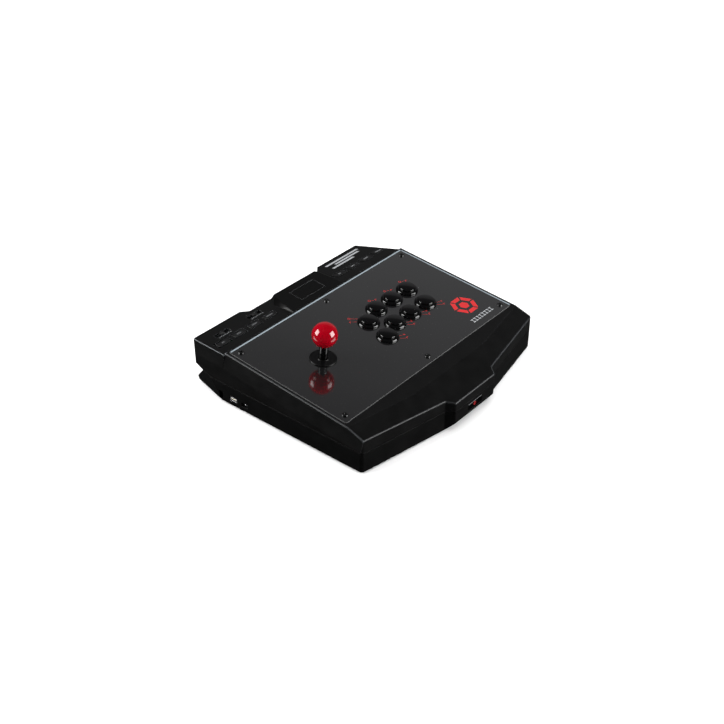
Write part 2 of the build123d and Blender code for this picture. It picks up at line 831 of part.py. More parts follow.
with BuildPart() as stick_body:
    blocks(stick, middle, (2 * body_half, 2 * body_half), board_high, mount_bottom)
    fillet(stick_body.edges().filter_by(stick_axis), radius=3)
    inner = 2 * (body_half - body_wall)
    blocks(stick, middle, (inner, inner), board_high - 1, body_roof, Mode.SUBTRACT)
    pillars(stick, middle, 12.0, body_roof - 1, 0, Mode.SUBTRACT)
    trunnion_plane = Plane(
        origin=stick.from_local_coords((-40, 0, stick_pivot)),
        x_dir=stick.y_dir,
        z_dir=(1, 0, 0),
    )
    pillars(trunnion_plane, middle, trunnion_radius + 0.05, 0, 80, Mode.SUBTRACT)
stick_body.part.label = "stick_body"

with BuildPart() as pivot_ring:
    ring_low = stick_pivot - ring_half_height
    ring_high = stick_pivot + ring_half_height
    pillars(stick, middle, ring_radius, ring_low, ring_high)
    pillars(trunnion_plane, middle, trunnion_radius, 16, 64)
    pillars(stick, middle, ring_bore, ring_low - 1, ring_high + 1, Mode.SUBTRACT)
    cross_plane = Plane(
        origin=stick.from_local_coords((0, -20, stick_pivot)),
        x_dir=(1, 0, 0),
        z_dir=stick.y_dir,
    )
    pillars(cross_plane, middle, trunnion_radius + 0.05, 0, 40, Mode.SUBTRACT)
pivot_ring.part.label = "pivot_ring"

with BuildPart() as stick_shaft:
    pillars(stick, middle, rod_radius, -49.0, ball_height - 6)
    hub_low = stick_pivot - hub_half_height
    pillars(stick, middle, hub_radius, hub_low, stick_pivot + hub_half_height)
    pillars(cross_plane, middle, trunnion_radius, 20 - ring_radius, 20 + ring_radius)
    with BuildSketch(stick.offset(-44.9)):
        Circle(rod_radius)
        Circle(rod_radius - 0.7, mode=Mode.SUBTRACT)
    extrude(amount=0.8, mode=Mode.SUBTRACT)
stick_shaft.part.label = "stick_shaft"

with BuildPart() as shaft_sleeve:
    pillars(stick, middle, sleeve_radius, -15.0, ball_height - 16.8)
    pillars(stick, middle, sleeve_radius + 1.0, -17.0, -15.0)
    pillars(stick, middle, collar_radius, collar_bottom, ball_height - 16.8)
    pillars(stick, middle, rod_radius, -20, 40, Mode.SUBTRACT)
shaft_sleeve.part.label = "shaft_sleeve"

with BuildPart() as ball_top:
    with Locations(stick.from_local_coords((0, 0, ball_height))):
        Sphere(ball_radius)
    split(bisect_by=stick.offset(ball_height - 16.8), keep=Keep.TOP)
    pillars(stick, middle, rod_radius, 0, ball_height - 6, Mode.SUBTRACT)
ball_top.part.label = "ball_top"

with BuildPart() as dust_washer:
    washer_plane = Plane(origin=stick.origin, x_dir=(1, 0, 0), z_dir=stick.y_dir * -1)
    with BuildSketch(washer_plane):
        Polygon(
            (sleeve_radius + 0.8, cover_top + 0.1),
            (washer_radius, cover_top + 0.1),
            (washer_radius, cover_top + 1.3),
            (washer_radius - 0.4, cover_top + 1.7),
            (washer_radius - 1.4, cover_top + 1.7),
            (washer_radius - 2.0, cover_top + 1.3),
            (sleeve_radius + 2.8, cover_top + 1.3),
            (sleeve_radius + 2.2, cover_top + 1.9),
            (sleeve_radius + 0.8, cover_top + 1.9),
            align=None,
        )
    revolve(axis=stick_axis)
dust_washer.part.label = "dust_washer"

with BuildPart() as lower_dust_washer:
    pillars(stick, middle, 18.0, body_roof - 1.4, body_roof - 0.2)
    pillars(stick, middle, 8.8, -20, 0, Mode.SUBTRACT)
lower_dust_washer.part.label = "lower_dust_washer"

with BuildPart() as lever_spring:
    spring_foot = stick.from_local_coords((0, 0, -32.6))
    coil(spring_foot, stick.z_dir, radius=4.4, height=3.9, pitch=1.3)
lever_spring.part.label = "lever_spring"

with BuildPart() as stick_actuator:
    pillars(stick, middle, actuator_radius, -44.0, -33.2)
    pillars(stick, middle, rod_radius, -50, -20, Mode.SUBTRACT)
    chamfer(stick_actuator.faces().group_by(deck_axis)[0].edges(), length=0.5)
stick_actuator.part.label = "stick_actuator"

with BuildPart() as shaft_clip:
    with BuildSketch(stick.offset(-44.8)):
        Circle(5.0)
        Circle(rod_radius - 0.7, mode=Mode.SUBTRACT)
        with Locations((4, 0)):
            Rectangle(8, 4, mode=Mode.SUBTRACT)
    extrude(amount=0.6)
shaft_clip.part.label = "shaft_clip"

with BuildPart() as stick_switches:
    reach = switch_gap + switch_size[1] / 2
    turned_size = (switch_size[1], switch_size[0])
    blocks(stick, [(0, reach), (0, -reach)], switch_size, board_high, switch_high)
    blocks(stick, [(reach, 0), (-reach, 0)], turned_size, board_high, switch_high)
stick_switches.part.label = "stick_switches"

with BuildPart() as stick_board:
    blocks(stick, middle, (50.0, 50.0), gate_top, board_high)
    fillet(stick_board.edges().filter_by(stick_axis), radius=3)
    pillars(stick, middle, 9.5, -50, -40, Mode.SUBTRACT)
    blocks(stick, [(-20, 0)], (4.0, 12.0), board_high, board_high + 5)
stick_board.part.label = "stick_board"

with BuildPart() as restrictor_gate:
    blocks(stick, middle, (50.0, 50.0), gate_bottom, gate_top)
    fillet(restrictor_gate.edges().filter_by(stick_axis), radius=3)
    opening = 2 * gate_half_opening
    blocks(stick, middle, (opening, opening), -60, -40, Mode.SUBTRACT)
restrictor_gate.part.label = "restrictor_gate"

# ================================================================ touchpad block
touch_travel = 0.4
touch_pocket_depth = 2.3


with BuildPart() as touchpad_block:
    with BuildSketch(rear_deck):
        Polygon(
            (-54.0, 3.3),
            (56.0, 3.3),
            (57.0, 20.6),
            (58.6, 40.1),
            (52.0, 53.6),
            (-48.0, 53.6),
            (-57.0, 40.1),
            (-54.0, 20.6),
            align=None,
        )
    with BuildSketch(deck):
        Polygon(
            (-53.6, 228.1),
            (55.4, 228.1),
            (54.8, 236.7),
            (49.4, 275.0),
            (46.4, 278.6),
            (-40.4, 278.6),
            (-43.6, 275.0),
            (-52.4, 236.7),
            align=None,
        )
    loft(ruled=True)
    crown = touchpad_block.faces().sort_by(deck_axis)[-1]
    outer_edges = crown.edges().filter_by(lambda edge: edge.center().Y > rear_deck_start_y + 2)
    fillet(outer_edges, radius=0.8)
    with BuildSketch(deck.offset(-touch_pocket_depth)):
        with Locations(touch_mid):
            RectangleRounded(touch_size[0] + 0.5, touch_size[1] + 0.5, 2.0)
    extrude(amount=5, mode=Mode.SUBTRACT)
touchpad_block.part.label = "touchpad_block"

with BuildPart() as touchpad:
    with BuildSketch(deck.offset(-1.6)):
        with Locations(touch_mid):
            RectangleRounded(touch_size[0], touch_size[1], 1.75)
    extrude(amount=1.5)
touchpad.part.label = "touchpad"

# ================================================================ function keys
key_rise = 0.5
key_bottom = -2.0
key_travel = 0.8
tact_top = -5.1
tact_height = 3.3
function_board_top = tact_top - tact_height
slider_travel = 3.5

function_keys = []
for side, key_positions in (("left", left_key_x), ("right", right_key_x)):
    for number, key_x in enumerate(key_positions, start=1):
        with BuildPart() as function_key:
            with BuildSketch(rear_deck.offset(key_bottom)):
                key_outline(key_x)
            extrude(amount=key_rise - key_bottom)
            top_face = function_key.faces().sort_by(Axis((0, 0, 0), rear_deck.z_dir))[-1]
            fillet(top_face.edges(), radius=0.35)
            pillars(rear_deck, [(key_x, key_w)], 2.0, tact_top + key_travel + 0.1, key_bottom)
        function_key.part.label = f"function_key_{side}_{number}"
        function_keys.append(function_key)

with BuildPart() as tact_switches:
    tact_spots = [(key_x, key_w) for key_x in left_key_x + right_key_x]
    blocks(rear_deck, tact_spots, (6.0, 6.0), function_board_top, tact_top)
tact_switches.part.label = "tact_switches"

with BuildPart() as function_boards:
    with BuildSketch(rear_deck.offset(function_board_top - 1.6)):
        Polygon((-188, 16), (-60, 16), (-60, 48), (-188, 48), align=None)
        Polygon((60, 16), (176, 16), (160, 38), (60, 38), align=None)
    extrude(amount=1.6)
function_boards.part.label = "function_boards"

slide_knobs = []
for number, (knob_x, knob_w) in enumerate(slider_spots, start=1):
    with BuildPart() as slide_knob:
        knob_spot = [(knob_x, knob_w)]
        blocks(rear_deck, knob_spot, (8.0, 5.0), 0.15 - slide_recess_depth, 0.4)
        groove_spots = [(knob_x + step, knob_w) for step in (-2, 0, 2)]
        blocks(rear_deck, groove_spots, (0.7, 5.0), 0.0, 1.0, Mode.SUBTRACT)
        blocks(rear_deck, knob_spot, (3.0, 2.4), -4.6, 0.2 - slide_recess_depth)
    slide_knob.part.label = f"slide_knob_{number}"
    slide_knobs.append(slide_knob)

with BuildPart() as slide_switches:
    blocks(rear_deck, slider_spots, (16.0, 7.0), function_board_top, -4.8)
slide_switches.part.label = "slide_switches"

lid_parts = [
    upper_shell, mounting_plate, panel_cover, panel_screws, hinge_lid_leaves, lid_striker,
    button_housings, button_nuts, button_switches, stick_mount_plate, stick_screws,
    stick_body, stick_switches, stick_board, restrictor_gate, touchpad_block,
    tact_switches, function_boards, slide_switches,
]
stick_parts = [
    pivot_ring, stick_shaft, shaft_sleeve, ball_top, dust_washer, lower_dust_washer,
    lever_spring, stick_actuator, shaft_clip,
]
moving_parts = button_plungers + function_keys + slide_knobs + [touchpad]

os.makedirs("parts", exist_ok=True)
for piece in base_parts + latch_parts + lid_parts + stick_parts + moving_parts:
    export_step(piece.part, f"parts/{piece.part.label}.step")
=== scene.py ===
"""Looks of the desk-top arcade joystick panel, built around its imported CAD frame."""

import json
from math import cos, pi, radians, sin

import bmesh
import bpy
from mathutils import Matrix, Vector


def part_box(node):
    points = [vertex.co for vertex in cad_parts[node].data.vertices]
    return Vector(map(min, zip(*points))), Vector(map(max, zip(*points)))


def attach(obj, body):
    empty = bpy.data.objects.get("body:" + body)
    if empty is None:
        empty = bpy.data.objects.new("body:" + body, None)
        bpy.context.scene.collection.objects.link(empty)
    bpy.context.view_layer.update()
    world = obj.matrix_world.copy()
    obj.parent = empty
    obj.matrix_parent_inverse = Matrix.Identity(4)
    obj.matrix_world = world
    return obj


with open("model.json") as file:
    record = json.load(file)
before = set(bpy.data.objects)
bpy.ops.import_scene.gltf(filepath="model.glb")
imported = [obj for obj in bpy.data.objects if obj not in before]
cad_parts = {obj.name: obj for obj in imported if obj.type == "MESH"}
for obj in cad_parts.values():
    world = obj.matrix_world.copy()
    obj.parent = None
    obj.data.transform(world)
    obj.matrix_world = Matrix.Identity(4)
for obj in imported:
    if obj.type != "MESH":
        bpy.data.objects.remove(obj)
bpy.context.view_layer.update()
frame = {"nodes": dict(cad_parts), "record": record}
MM = 0.001

# ------------------------------------------------------------------ planes
# The sloping deck and the flatter rear deck, as (origin, across, along, normal).


def sloping_plane(y_mm, z_mm, angle):
    """A plane that rises to the rear by an angle, through a point on the middle line."""
    along = Vector((0, cos(radians(angle)), sin(radians(angle))))
    across = Vector((1, 0, 0))
    return Vector((0, y_mm * MM, z_mm * MM)), across, along, across.cross(along)


DECK = sloping_plane(-121.0, 61.0, 5.56)
REAR_DECK = sloping_plane(102.4, 80.2, 2.64)
COVER_TOP = 1.0
KEY_TOP = 0.5


def on_plane(plane, u, v, height):
    """World point from plane coordinates in millimetres."""
    origin, across, along, normal = plane
    return origin + (across * u + along * v + normal * height) * MM


def plane_spot(plane, node):
    """Plane coordinates, in millimetres, of the middle of a CAD node."""
    low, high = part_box(node)
    offset = ((low + high) / 2 - plane[0]) / MM
    return offset.dot(plane[1]), offset.dot(plane[2])


# ------------------------------------------------------------------ materials
# Where the painted rim highlight of the case ends: across the left side and behind the front, in
# metres.
LEFT_SIDE_X = (-0.1902, -0.1892)
FRONT_Y = (-0.118, -0.112)
# Height of a normal that counts as pointing down, and as pointing up.
UPWARD_Z = (0.05, 0.25)
# Agreement of the rounded and the flat normal on an edge, and on a flat.
EDGE_AGREEMENT = (0.88, 0.995)
# Rounding, in metres, and roughness of the rim edges that carry the painted highlight.
HIGHLIGHT_RIM_RADIUS = 1.8e-3
HIGHLIGHT_RIM_ROUGHNESS = 0.2
# Roughness of the cover sheet's sawn edges, and its refractive index.
SAWN_ROUGHNESS = 0.8
COVER_IOR = 2.1


class Surface:
    """A node material with a principled shader and object coordinates."""

    def __init__(self, name):
        self.material = bpy.data.materials.new(name)
        self.material.use_nodes = True
        self.tree = self.material.node_tree
        self.tree.nodes.clear()
        self.shader = self.tree.nodes.new("ShaderNodeBsdfPrincipled")
        output = self.tree.nodes.new("ShaderNodeOutputMaterial")
        self.tree.links.new(self.shader.outputs["BSDF"], output.inputs["Surface"])
        self.place = self.tree.nodes.new("ShaderNodeTexCoord").outputs["Object"]

    def put(self, socket, value):
        """Link a node's output to a socket, or set the socket to a value."""
        if isinstance(value, bpy.types.NodeSocket):
            self.tree.links.new(value, socket)
        else:
            socket.default_value = value

    def set(self, **values):
        """Set or link the shader's own sockets."""
        for name, value in values.items():
            self.put(self.shader.inputs[name.replace("_", " ")], value)

    def noise(self, scale, detail=2.0, roughness=0.5, stretch=None):
        """Noise value at so many cells a metre, stretched along an axis if asked."""
        node = self.tree.nodes.new("ShaderNodeTexNoise")
        node.inputs["Scale"].default_value = scale
        node.inputs["Detail"].default_value = detail
        node.inputs["Roughness"].default_value = roughness
        place = self.place
        if stretch:
            mapping = self.tree.nodes.new("ShaderNodeMapping")
            mapping.inputs["Scale"].default_value = stretch
            self.put(mapping.inputs["Vector"], self.place)
            place = mapping.outputs["Vector"]
        self.put(node.inputs["Vector"], place)
        return node.outputs["Fac"]

    def cells(self, scale, feature="F1"):
        """Distance in a cell pattern, for grains and pits."""
        node = self.tree.nodes.new("ShaderNodeTexVoronoi")
        node.feature = feature
        node.inputs["Scale"].default_value = scale
        self.put(node.inputs["Vector"], self.place)
        return node.outputs["Distance"]

    def between(self, value, low, high, start=0.3, end=0.7):
        """A value that runs from low to high as another runs from start to end."""
        node = self.tree.nodes.new("ShaderNodeMapRange")
        node.inputs["From Min"].default_value = start
        node.inputs["From Max"].default_value = end
        self.put(node.inputs["To Min"], low)
        self.put(node.inputs["To Max"], high)
        self.put(node.inputs["Value"], value)
        return node.outputs["Result"]

    def blend(self, factor, first, second):
        """Colour between two colours."""
        node = self.tree.nodes.new("ShaderNodeMix")
        node.data_type = "RGBA"
        self.put(node.inputs[0], factor)
        self.put(node.inputs[6], first)
        self.put(node.inputs[7], second)
        return node.outputs[2]

    def math(self, operation, first, second=0.0):
        """Result of a maths node."""
        node = self.tree.nodes.new("ShaderNodeMath")
        node.operation = operation
        self.put(node.inputs[0], first)
        self.put(node.inputs[1], second)
        return node.outputs[0]

    def highlighted_sides(self):
        """1 on the left side and the front of the case, where the rim carries a painted
        highlight, 0 elsewhere.
        """
        split = self.tree.nodes.new("ShaderNodeSeparateXYZ")
        self.put(split.inputs[0], self.place)
        at_side = self.between(split.outputs["X"], 1.0, 0.0, *LEFT_SIDE_X)
        at_front = self.between(split.outputs["Y"], 1.0, 0.0, *FRONT_Y)
        return self.math("MAXIMUM", at_side, at_front)

    def upward(self, normal):
        """1 where a normal points up or outwards, 0 where it points down."""
        split = self.tree.nodes.new("ShaderNodeSeparateXYZ")
        self.put(split.inputs[0], normal)
        return self.between(split.outputs["Z"], 0.0, 1.0, *UPWARD_Z)

    def soft_edges(self, radius):
        """Normals rounded over the edges, by a radius in metres."""
        node = self.tree.nodes.new("ShaderNodeBevel")
        node.samples = 4
        self.put(node.inputs["Radius"], radius)
        return node.outputs["Normal"]

    def edge_mask(self, rounded):
        """1 on the rounded edges, 0 on the flats."""
        flat = self.tree.nodes.new("ShaderNodeNewGeometry").outputs["Normal"]
        product = self.tree.nodes.new("ShaderNodeVectorMath")
        product.operation = "DOT_PRODUCT"
        self.put(product.inputs[0], rounded)
        self.put(product.inputs[1], flat)
        return self.between(product.outputs["Value"], 1.0, 0.0, *EDGE_AGREEMENT)

    def facing(self, direction):
        """How far the surface faces a direction fixed to the piece, up to 1."""
        normal = self.tree.nodes.new("ShaderNodeTexCoord").outputs["Normal"]
        product = self.tree.nodes.new("ShaderNodeVectorMath")
        product.operation = "DOT_PRODUCT"
        self.put(product.inputs[0], normal)
        self.put(product.inputs[1], direction)
        return product.outputs["Value"]

    def bump(self, height, depth, normal=None):
        """Bumps of a depth in metres."""
        node = self.tree.nodes.new("ShaderNodeBump")
        node.inputs["Strength"].default_value = 1.0
        node.inputs["Distance"].default_value = depth
        self.put(node.inputs["Height"], height)
        if normal is not None:
            self.put(node.inputs["Normal"], normal)
        return node.outputs["Normal"]


def rgb(red, green, blue):
    """Colour with full alpha."""
    return (red, green, blue, 1.0)


def shade(colour, factor):
    """Colour made lighter or darker."""
    return rgb(*[channel * factor for channel in colour[:3]])


# Pale grey-blue colour of the painted highlight on the case lid's rim.
PAINTED_RIM_HIGHLIGHT_COLOUR = rgb(0.17, 0.185, 0.2)


def moulded(name, colour, gloss, specular, edge, grain=2400.0, depth=1.5e-5, painted_rim_highlight=False):
    """Moulded plastic: fine grain, faint flow marks, a painted highlight on upward-facing edges,
    smoother on the highlighted rim.
    """
    made = Surface(name)
    cloud = made.noise(28.0, detail=4.0)
    if painted_rim_highlight:
        edge = made.between(made.highlighted_sides(), edge, HIGHLIGHT_RIM_RADIUS, 0.0, 1.0)
    rounded = made.soft_edges(edge)
    # Painted highlight: rounded edges that face up get a lighter base colour, pale grey-blue on
    # the case lid's highlighted rim.
    painted_edge_highlight = made.math("MULTIPLY", made.edge_mask(rounded), made.upward(rounded))
    body = made.blend(made.between(cloud, 0.0, 1.0), shade(colour, 0.85), shade(colour, 1.15))
    painted_highlight_colour = PAINTED_RIM_HIGHLIGHT_COLOUR if painted_rim_highlight else shade(colour, 1.9)
    made.set(Base_Color=made.blend(painted_edge_highlight, body, painted_highlight_colour))
    rough = made.between(made.noise(55.0, detail=5.0), gloss - 0.05, gloss + 0.05)
    if painted_rim_highlight:
        rough = made.between(painted_edge_highlight, rough, HIGHLIGHT_RIM_ROUGHNESS, 0.0, 1.0)
    made.set(Roughness=rough)
    made.set(Normal=made.bump(made.noise(grain, detail=3.0, roughness=0.6), depth, rounded))
    made.set(Specular_IOR_Level=specular)
    return made.material


def polished(name, colour, gloss, specular=0.5):
    """Polished plastic: clear reflections, faint ripples and handling marks."""
    made = Surface(name)
    rounded = made.soft_edges(3e-4)
    marks = made.noise(900.0, detail=6.0, stretch=(1.0, 0.2, 1.0))
    rough = made.between(marks, gloss, gloss + 0.07, 0.35, 0.8)
    cloud = made.between(made.noise(60.0), 0.0, 1.0)
    made.set(Base_Color=made.blend(cloud, shade(colour, 0.92), shade(colour, 1.08)))
    made.set(Roughness=rough, Normal=made.bump(made.noise(120.0), 2e-6, rounded))
    made.set(Specular_IOR_Level=specular)
    return made.material


def metal(name, colour, gloss, scale=90.0):
    """Bare or plated metal with drawn lines and slightly uneven lustre."""
    made = Surface(name)
    lines = made.noise(scale, detail=5.0, roughness=0.7, stretch=(1.0, 30.0, 30.0))
    patches = made.noise(140.0, detail=3.0)
    made.set(Base_Color=made.blend(made.between(patches, 0.0, 1.0), shade(colour, 0.82), colour))
    made.set(Roughness=made.between(lines, gloss - 0.08, gloss + 0.1))
    made.set(Normal=made.bump(lines, 4e-6, made.soft_edges(2e-4)), Metallic=0.8)
    return made.material


def painted(name, colour, gloss):
    """Powder-coated metal with a fine orange-peel skin."""
    made = Surface(name)
    peel = made.noise(1300.0, detail=2.0)
    cloud = made.between(made.noise(40.0), 0.0, 1.0)
    made.set(Base_Color=made.blend(cloud, shade(colour, 0.85), shade(colour, 1.15)))
    made.set(Roughness=made.between(peel, gloss - 0.06, gloss + 0.06))
    made.set(Normal=made.bump(peel, 1.2e-5, made.soft_edges(3e-4)))
    return made.material


def rubber(name, colour):
    """Soft rubber with dusty patches and a fine pitted skin."""
    made = Surface(name)
    dust = made.between(made.noise(220.0, detail=6.0), 0.0, 1.0, 0.5, 0.75)
    made.set(Base_Color=made.blend(dust, colour, shade(colour, 2.2)))
    made.set(Roughness=0.85, Normal=made.bump(made.cells(1500.0), 4e-5))
    return made.material


def circuit_board(name):
    """Green solder mask over copper tracks."""
    made = Surface(name)
    tracks = made.cells(230.0, "DISTANCE_TO_EDGE")
    copper = made.between(tracks, 1.0, 0.0, 0.03, 0.06)
    mask = made.blend(copper, rgb(0.008, 0.09, 0.03), rgb(0.03, 0.2, 0.07))
    made.set(Base_Color=mask, Roughness=made.between(made.noise(400.0), 0.25, 0.4))
    made.set(Normal=made.bump(copper, 3e-5))
    return made.material


def ball_plastic(name):
    """Glossy red ball with a slight swirl in the colour."""
    made = Surface(name)
    swirl = made.between(made.noise(45.0, detail=3.0), 0.0, 1.0)
    made.set(Base_Color=made.blend(swirl, rgb(0.21, 0.0, 0.004), rgb(0.25, 0.0, 0.006)))
    made.set(Roughness=made.between(made.noise(300.0, 5.0), 0.05, 0.08))
    made.set(Normal=made.bump(made.noise(90.0), 2e-6), Specular_IOR_Level=0.7)
    return made.material


def printed_cover(name):
    """Smoke-tinted glossy sheet: even, with fine scuffs and rougher sawn edges."""
    made = Surface(name)
    cloud = made.between(made.noise(9.0, detail=3.0), 0.0, 1.0)
    fine = made.between(made.noise(1800.0, detail=2.0), 0.0, 1.0)
    base = made.blend(cloud, rgb(0.0042, 0.0042, 0.0044), rgb(0.0055, 0.0055, 0.0058))
    made.set(Base_Color=made.blend(fine, base, rgb(0.0062, 0.0062, 0.0065)))
    scuffs = made.noise(500.0, detail=8.0, roughness=0.7, stretch=(1.0, 0.35, 1.0))
    top = made.facing(DECK[3])
    smooth = made.between(scuffs, 0.07, 0.11, 0.35, 0.75)
    made.set(Roughness=made.between(top, SAWN_ROUGHNESS, smooth, 0.9, 0.99))
    made.set(Normal=made.bump(made.noise(700.0), 1e-6))
    made.set(IOR=COVER_IOR, Specular_IOR_Level=0.75)
    return made.material


def ink(name, colour):
    """Screen-printed ink, a little uneven in cover."""
    made = Surface(name)
    cover = made.between(made.noise(1400.0, detail=4.0), 0.0, 1.0, 0.35, 0.6)
    made.set(Base_Color=made.blend(cover, shade(colour, 0.8), colour))
    made.set(Roughness=made.between(made.noise(600.0), 0.35, 0.5), Specular_IOR_Level=0.3)
    return made.material


FINISH = {
    "case_black": moulded("case_black", rgb(0.001, 0.001, 0.001), 0.44, 0.2, 5e-4),
    # The lid's rim at the left side and the front carries a painted highlight.
    "case_lid": moulded("case_lid", rgb(0.0013, 0.0013, 0.0013), 0.4, 0.33, 2e-4, painted_rim_highlight=True),
    "block_black": moulded("block_black", rgb(0.0008, 0.0008, 0.0008), 0.4, 0.24, 2e-4),
    "cover_grey": printed_cover("cover_grey"),
    "black_steel": painted("black_steel", rgb(0.012, 0.012, 0.013), 0.45),
    "zinc_steel": metal("zinc_steel", rgb(0.5, 0.5, 0.51), 0.36),
    "screw_black": polished("screw_black", rgb(0.001, 0.001, 0.001), 0.16, 0.9),
    "bright_metal": metal("bright_metal", rgb(0.62, 0.62, 0.64), 0.2, scale=200.0),
    "foot_rubber": rubber("foot_rubber", rgb(0.015, 0.015, 0.015)),
    "board_green": circuit_board("board_green"),
    "switch_black": moulded("switch_black", rgb(0.012, 0.012, 0.013), 0.4, 0.35, 2e-4),
    "gloss_black": polished("gloss_black", rgb(0.0015, 0.0015, 0.0016), 0.05),
    "ball_red": ball_plastic("ball_red"),
    "washer_black": polished("washer_black", rgb(0.0012, 0.0012, 0.0013), 0.3, 0.28),
    "latch_plastic": moulded("latch_plastic", rgb(0.0006, 0.0006, 0.0006), 0.3, 0.04, 3e-4),
    "gate_plastic": moulded("gate_plastic", rgb(0.5, 0.5, 0.47), 0.38, 0.5, 3e-4),
    "key_plastic": moulded("key_plastic", rgb(0.004, 0.004, 0.0042), 0.38, 0.34, 2e-4),
    "pad_plastic": moulded("pad_plastic", rgb(0.0008, 0.0008, 0.0008), 0.4, 0.24, 1e-4,
                           grain=3500.0, depth=8e-6),
    "print_red": ink("print_red", rgb(0.42, 0.018, 0.02)),
    "print_grey": ink("print_grey", rgb(0.27, 0.28, 0.29)),
    # Pale blue-grey: a painted highlight on the cover sheet's cut edge.
    "clear_edge": polished("clear_edge", rgb(0.2, 0.235, 0.26), 0.2, 0.5),
    "contact_gold": metal("contact_gold", rgb(0.75, 0.52, 0.18), 0.25, scale=300.0),
}

for entry in frame["record"]["subparts"]:
    node = frame["nodes"][entry["node"]]
    node.data.materials.clear()
    node.data.materials.append(FINISH[entry["material_slot"]])


# ------------------------------------------------------------------ flat marks
def bar(x0, y0, x1, y1, width):
    """Outline of a straight bar between two points."""
    run = Vector((x1 - x0, y1 - y0))
    side = Vector((-run.y, run.x)).normalized() * (width / 2)
    start, end = Vector((x0, y0)), Vector((x1, y1))
    return [tuple(point) for point in (start - side, end - side, end + side, start + side)]


def disc(x, y, radius, count):
    """Outline of a disc, with so many corners."""
    turns = [2 * pi * step / count for step in range(count)]
    return [(x + radius * cos(turn), y + radius * sin(turn)) for turn in turns]


def shifted(outlines, x, y, turn=0.0):
    """Outlines turned by an angle in degrees and moved."""
    spin = Matrix.Rotation(radians(turn), 2)
    return [[tuple(spin @ Vector(point) + Vector((x, y))) for point in o] for o in outlines]


def flat_piece(name, plane, outlines, height, body, slot, thickness=0.06):
    """A thin printed or moulded piece: outlines in plane millimetres, raised a little."""
    mesh = bmesh.new()
    for outline in outlines:
        rings = []
        for level in (height, height + thickness):
            rings.append([mesh.verts.new(on_plane(plane, u, v, level)) for u, v in outline])
        low, high = rings
        count = len(outline)
        mesh.faces.new(list(reversed(low)))
        mesh.faces.new(high)
        for i in range(count):
            j = (i + 1) % count
            mesh.faces.new((low[i], low[j], high[j], high[i]))
    bmesh.ops.recalc_face_normals(mesh, faces=mesh.faces)
    return finished(name, mesh, body, slot)


def finished(name, mesh, body, slot):
    """Turn a bmesh into a piece that rides on a body."""
    data = bpy.data.meshes.new(name)
    mesh.to_mesh(data)
    mesh.free()
    piece = bpy.data.objects.new(name, data)
    bpy.context.scene.collection.objects.link(piece)
    data.materials.append(FINISH[slot])
    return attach(piece, body)


# How far the marks stand above the surface under them, in millimetres.
LIFT = 0.02

# Small signs stand beside each button, joined to it by one or two thin leader lines.
LINE = 0.4
square_sign = [bar(-1.6, -1.6, 1.6, -1.6, 0.5), bar(1.6, -1.6, 1.6, 1.6, 0.5)]
square_sign += [bar(1.6, 1.6, -1.6, 1.6, 0.5), bar(-1.6, 1.6, -1.6, -1.6, 0.5)]
chevron_sign = [bar(-1.8, -1.3, 0.2, 1.3, 0.6), bar(0.2, 1.3, 2.2, -1.3, 0.6)]
cross_sign = [bar(-1.9, 0.0, 1.9, 0.0, 0.6), bar(0.0, -1.9, 0.0, 1.9, 0.6)]

marks = []
for number in range(1, 9):
    u, v = plane_spot(DECK, f"button_plunger_{number}")
    if number < 4:
        marks += shifted(square_sign, u + 9.1, v + 21.6, 45)
        marks += shifted(chevron_sign, u + 18.4, v + 17.4, 20)
        marks.append(bar(u + 12.0, v + 20.0, u + 15.6, v + 18.4, LINE))
    elif number == 4:
        marks.append(bar(u - 4.2, v + 16.9, u - 11.7, v + 24.2, LINE))
        marks.append(bar(u - 10.4, v + 13.5, u - 16.5, v + 17.9, LINE))
        marks += shifted(square_sign, u - 13.6, v + 26.4, 30)
        marks += shifted(chevron_sign, u - 18.9, v + 19.7, 30)
    else:
        marks.append(bar(u + 13.4, v - 10.0, u + 17.6, v - 12.2, LINE))
        marks.append(bar(u + 9.4, v - 14.4, u + 15.9, v - 20.4, LINE))
        marks += shifted(cross_sign, u + 20.6, v - 12.8, 30)
        marks += shifted(chevron_sign, u + 18.4, v - 19.8, 30)
flat_piece("button_marks", DECK, marks, COVER_TOP + LIFT, "lid", "print_red")

# A plain red hexagon badge at the right, with a band of small bars under it.
BADGE_SPOT = (138.0, 63.5)
BADGE_OUTER, BADGE_INNER, BADGE_CORE = 21.0, 13.5, 8.0
badge = []
for step in range(6):
    turns = [radians(60 * step + 4), radians(60 * step + 56)]
    outer = [(BADGE_OUTER * cos(t), BADGE_OUTER * sin(t)) for t in turns]
    inner = [(BADGE_INNER * cos(t), BADGE_INNER * sin(t)) for t in reversed(turns)]
    badge.append(outer + inner)
badge.append(disc(0.0, 0.0, BADGE_CORE, 6))
flat_piece("badge_mark", DECK, shifted(badge, *BADGE_SPOT), COVER_TOP + LIFT, "lid", "print_red")
BAR_STARTS = [113.0 + 6.3 * k for k in range(8)]
bars = [bar(x, 27.5, x + 4.6, 27.5, 1.6) for x in BAR_STARTS]
bars += [bar(x, 33.5, x + 4.6, 33.5, 1.6) for x in BAR_STARTS]
bars += [bar(x + 2.3, 28.6, x + 2.3, 32.4, 1.3) for x in BAR_STARTS]
flat_piece("badge_bars", DECK, bars, COVER_TOP + LIFT, "lid", "print_grey")

# Long slanted stripes on the rear deck, at the right.
STRIPE_STEP, STRIPE_LEAN = 5.6, 2.4
stripes = []
for row, (start, end) in enumerate([(76.0, 150.0), (92.0, 146.0), (80.0, 128.0)]):
    low, high = 52.6 - STRIPE_STEP * row, 55.8 - STRIPE_STEP * row
    stripes.append([(start, low), (end, low)])
    stripes[-1] += [(end - STRIPE_LEAN, high), (start - STRIPE_LEAN, high)]
flat_piece("deck_stripes", REAR_DECK, stripes, LIFT, "lid", "print_grey")

